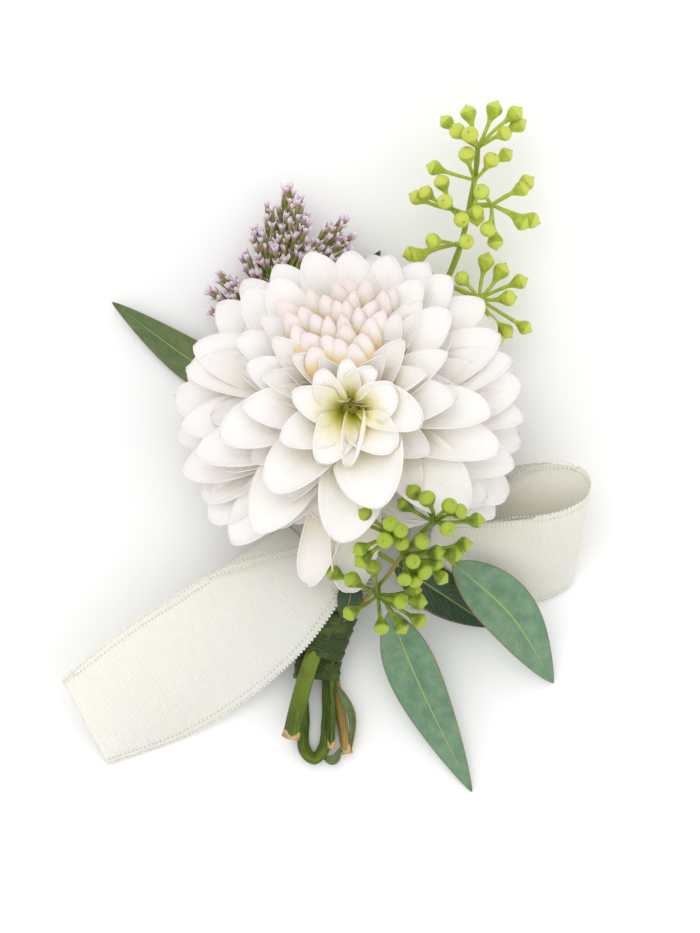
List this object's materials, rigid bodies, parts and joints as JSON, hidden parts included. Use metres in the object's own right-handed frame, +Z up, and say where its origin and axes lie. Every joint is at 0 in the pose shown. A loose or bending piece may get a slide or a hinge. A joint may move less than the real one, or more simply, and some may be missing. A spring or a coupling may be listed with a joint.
{
  "type": "boutonniere",
  "caption": "Boutonniere lying on its back: a white dahlia with seeded eucalyptus, leaves, sea lavender, taped stems and an ivory satin ribbon with a loop and a tail.",
  "frame": {"origin": "centre of the bounding box at the surface that the boutonniere lies on", "axes": "+Z up from that surface, +Y from the stems toward the tip of the flowers, +X toward the ribbon's loop"},
  "size_m": [0.106, 0.1393, 0.0384],
  "materials": {
    "petal": "soft matte white, faint lilac shading",
    "heart": "soft matte blush and cream",
    "calyx": "matte green",
    "stem": "fresh green, low gloss, fine ribs",
    "woody_stem": "tan bark, matte",
    "bud": "yellow-green, low gloss",
    "leaf": "grey-green, waxy",
    "sea_lavender": "dry papery lilac",
    "floral_tape": "dark green waxed crepe",
    "satin": "ivory satin sheen"
  },
  "bodies": {
    "root": {"dahlia_calyx": "calyx", "dahlia_heart": "heart", "dahlia_stem": "stem", "eucalyptus_stem_long": "stem", "eucalyptus_stem_short": "woody_stem", "floral_tape_lower": "floral_tape", "floral_tape_upper": "floral_tape", "inner_petal_01": "petal", "inner_petal_02": "petal", "inner_petal_03": "petal", "inner_petal_04": "petal", "inner_petal_05": "petal", "inner_petal_06": "petal", "inner_petal_07": "petal", "leaf_behind_right": "leaf", "leaf_left_under": "leaf", "leaf_lower_middle": "leaf", "leaf_lower_right": "leaf", "leaf_right_under": "leaf", "leaf_small": "leaf", "leaf_upper_left": "leaf", "leaf_upper_right": "leaf", "lower_umbel_1": "bud", "lower_umbel_2": "bud", "lower_umbel_3": "bud", "lower_umbel_4": "bud", "middle_petal_01": "petal", "middle_petal_02": "petal", "middle_petal_03": "petal", "middle_petal_04": "petal", "middle_petal_05": "petal", "middle_petal_06": "petal", "middle_petal_07": "petal", "middle_petal_08": "petal", "middle_petal_09": "petal", "outer_petal_01": "petal", "outer_petal_02": "petal", "outer_petal_03": "petal", "outer_petal_04": "petal", "outer_petal_05": "petal", "outer_petal_06": "petal", "outer_petal_07": "petal", "outer_petal_08": "petal", "outer_petal_09": "petal", "outer_petal_10": "petal", "ribbon_loop_over": "satin", "ribbon_loop_under": "satin", "ribbon_tail": "satin", "ribbon_wrap": "satin", "sea_lavender_left": "sea_lavender", "sea_lavender_middle": "sea_lavender", "sea_lavender_right": "sea_lavender", "sea_lavender_stem": "stem", "upper_umbel_1": "bud", "upper_umbel_2": "bud", "upper_umbel_3": "bud", "upper_umbel_4": "bud", "upper_umbel_5": "bud", "upper_umbel_6": "bud"}
  },
  "joints": []
}
